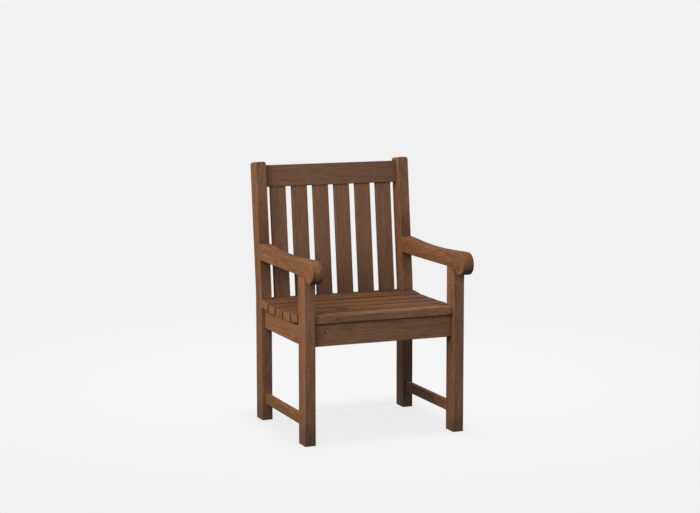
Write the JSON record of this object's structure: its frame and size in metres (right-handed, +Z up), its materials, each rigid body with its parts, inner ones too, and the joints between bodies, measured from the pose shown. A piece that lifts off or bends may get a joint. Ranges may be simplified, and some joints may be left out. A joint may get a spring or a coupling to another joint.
{
  "type": "garden armchair",
  "caption": "Rigid wooden garden armchair with a raked slatted back, a dished slatted seat and arms that end in a rolled scroll.",
  "frame": {"origin": "on the floor, in the middle of the chair's width and depth", "axes": "+Z up, -Y towards the front, -X towards the left as seen from the front"},
  "size_m": [0.578, 0.5972, 0.905],
  "materials": {
    "timber": "oiled reddish-brown hardwood",
    "peg_timber": "oiled reddish-brown hardwood",
    "screw_brass": "bright brass screws under the plugs"
  },
  "bodies": {
    "root": {"rear_leg_left": "timber", "rear_leg_right": "timber", "front_leg_left": "timber", "front_leg_right": "timber", "arm_left": "timber", "arm_right": "timber", "side_apron_left": "timber", "side_apron_right": "timber", "side_stretcher_left": "timber", "side_stretcher_right": "timber", "top_rail": "timber", "front_apron": "timber", "lower_back_rail": "timber", "seat_bearer": "timber", "back_slat_1": "timber", "back_slat_2": "timber", "back_slat_3": "timber", "back_slat_4": "timber", "back_slat_5": "timber", "back_slat_6": "timber", "seat_slat_1": "timber", "seat_slat_2": "timber", "seat_slat_3": "timber", "seat_slat_4": "timber", "seat_slat_5": "timber", "seat_slat_6": "timber", "rail_pegs": "peg_timber", "side_pegs": "peg_timber", "seat_screws": "screw_brass", "arm_screws": "screw_brass", "screw_plugs": "peg_timber"}
  },
  "joints": []
}
